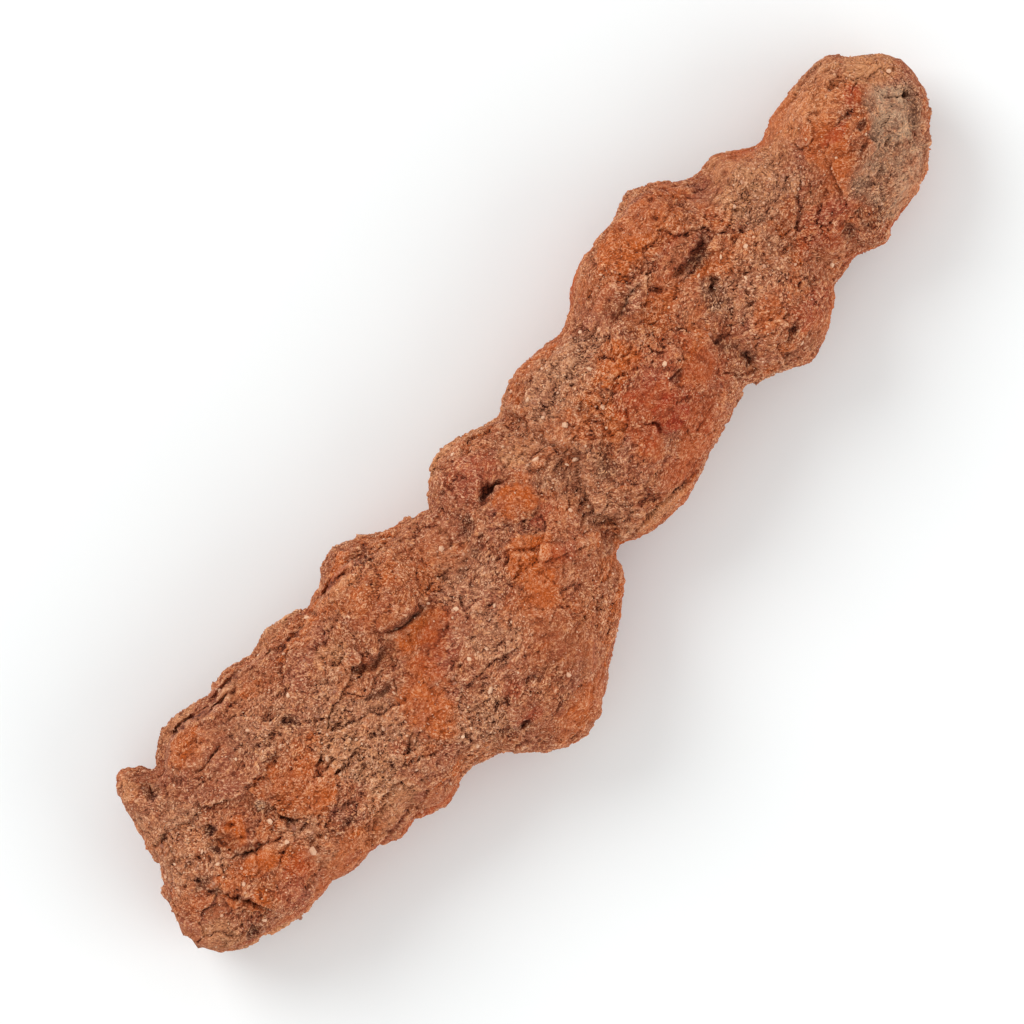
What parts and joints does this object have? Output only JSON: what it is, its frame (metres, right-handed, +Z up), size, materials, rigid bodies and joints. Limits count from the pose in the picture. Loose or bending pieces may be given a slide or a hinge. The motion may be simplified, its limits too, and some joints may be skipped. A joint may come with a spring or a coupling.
{
  "type": "coprolite",
  "caption": "Long lumpy sandy red coprolite, broken square at one end and rounded at the other, with cracks, pits and a layered rim, lying on worn flats.",
  "frame": {"origin": "middle of the footprint's box, on the surface that the fossil rests on", "axes": "+X along the length towards the rounded head, +Y towards the layered far edge, +Z up from the resting flats"},
  "size_m": [0.13, 0.0386, 0.0209],
  "materials": {
    "sandy_red_stone": "rough, matt"
  },
  "bodies": {
    "root": {"coprolite": "sandy_red_stone"}
  },
  "joints": []
}
